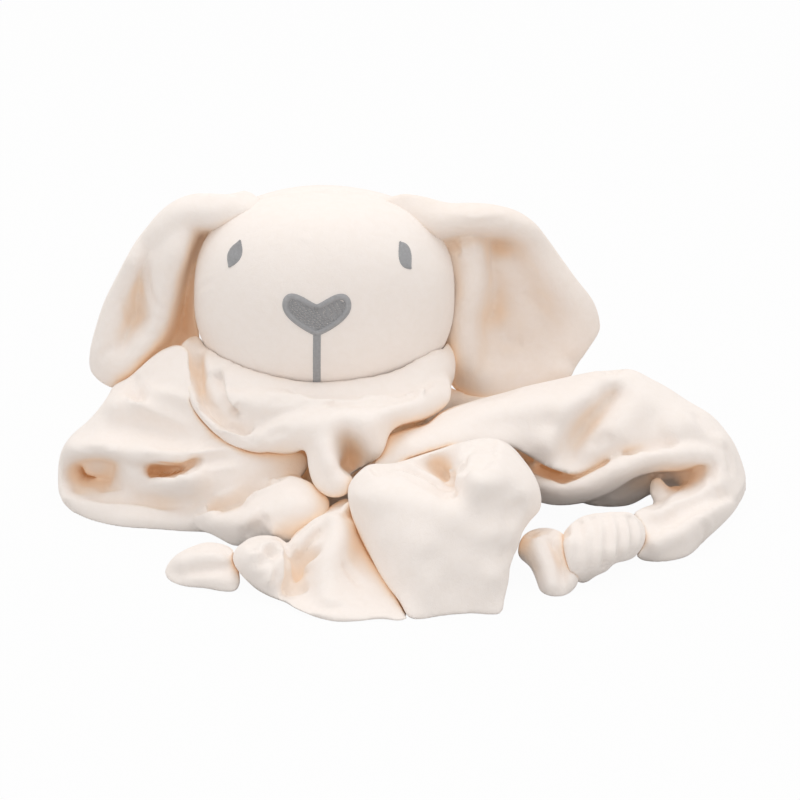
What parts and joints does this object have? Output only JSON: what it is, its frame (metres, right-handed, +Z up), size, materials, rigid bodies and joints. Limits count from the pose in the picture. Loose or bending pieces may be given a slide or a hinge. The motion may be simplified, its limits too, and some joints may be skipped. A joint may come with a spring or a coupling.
{
  "type": "comfort blanket with stuffed rabbit head",
  "caption": "Stuffed rabbit head with floppy lined ears and a stitched face, sewn to the middle of a crumpled velour blanket with knotted corners, for a baby to hold and cuddle.",
  "frame": {"origin": "on the floor under the middle of the head", "axes": "+X to the viewer's right across the face, +Y towards the back of the toy, +Z up"},
  "size_m": [0.292, 0.2412, 0.1296],
  "materials": {
    "velour": "short-pile cream velour",
    "ear_lining": "short-pile cream velour, lining ply",
    "grey_thread": "grey embroidery thread",
    "cream_thread": "cream sewing thread",
    "wadding": "white polyester wadding"
  },
  "bodies": {
    "blanket": {"left_knot": "velour", "right_knot": "velour", "front_fan": "velour", "front_swag": "velour", "collar_lower_roll": "velour", "collar_upper_roll": "velour", "right_panel": "velour", "right_corner_fold": "velour", "right_hem_roll": "velour", "right_floor_fold": "velour", "left_front_bulge": "velour", "left_inner_fold": "velour", "left_panel": "velour", "neck_tie_thread": "cream_thread", "neck_gather": "velour", "blanket_centre": "velour", "back_centre_fold": "velour", "back_left_fold": "velour", "back_right_fold": "velour"},
    "head": {"head_face_panel": "velour", "head_back_panel": "velour", "head_filling": "wadding", "nose_border_stitching": "grey_thread", "nose_fill_stitching": "grey_thread", "left_eye_stitching": "grey_thread", "right_eye_stitching": "grey_thread", "mouth_stitching": "grey_thread"},
    "left_ear": {"left_ear_outer": "velour", "left_ear_lining": "ear_lining"},
    "right_ear": {"right_ear_outer": "velour", "right_ear_lining": "ear_lining"},
    "front_flap": {"front_flap": "velour", "front_flap_hood": "velour"},
    "left_tail": {"left_knot_tail": "velour"},
    "right_tail": {"right_knot_tail": "velour"}
  },
  "joints": [
    {"name": "head_nod", "type": "hinge", "parent": "blanket", "child": "head", "pos_m": [0, 0.00611, 0.04], "axis": [-1, 0, 0], "range_deg": [0, 25]},
    {"name": "left_ear_lift", "type": "hinge", "parent": "head", "child": "left_ear", "pos_m": [-0.02498, 0.00301, 0.11999], "axis": [0, 1, 0], "range_deg": [0, 75]},
    {"name": "right_ear_lift", "type": "hinge", "parent": "head", "child": "right_ear", "pos_m": [0.02498, 0.00301, 0.11999], "axis": [0, -1, 0], "range_deg": [0, 75]},
    {"name": "front_flap_lift", "type": "hinge", "parent": "blanket", "child": "front_flap", "pos_m": [0.048, -0.084, 0.04], "axis": [-1, 0, 0], "range_deg": [0, 60]},
    {"name": "left_tail_swing", "type": "hinge", "parent": "blanket", "child": "left_tail", "pos_m": [-0.03, -0.129, 0.0085], "axis": [0, 0, 1], "range_deg": [0, 50]},
    {"name": "right_tail_swing", "type": "hinge", "parent": "blanket", "child": "right_tail", "pos_m": [0.105, -0.115, 0.008], "axis": [0, 0, 1], "range_deg": [0, 40]}
  ]
}
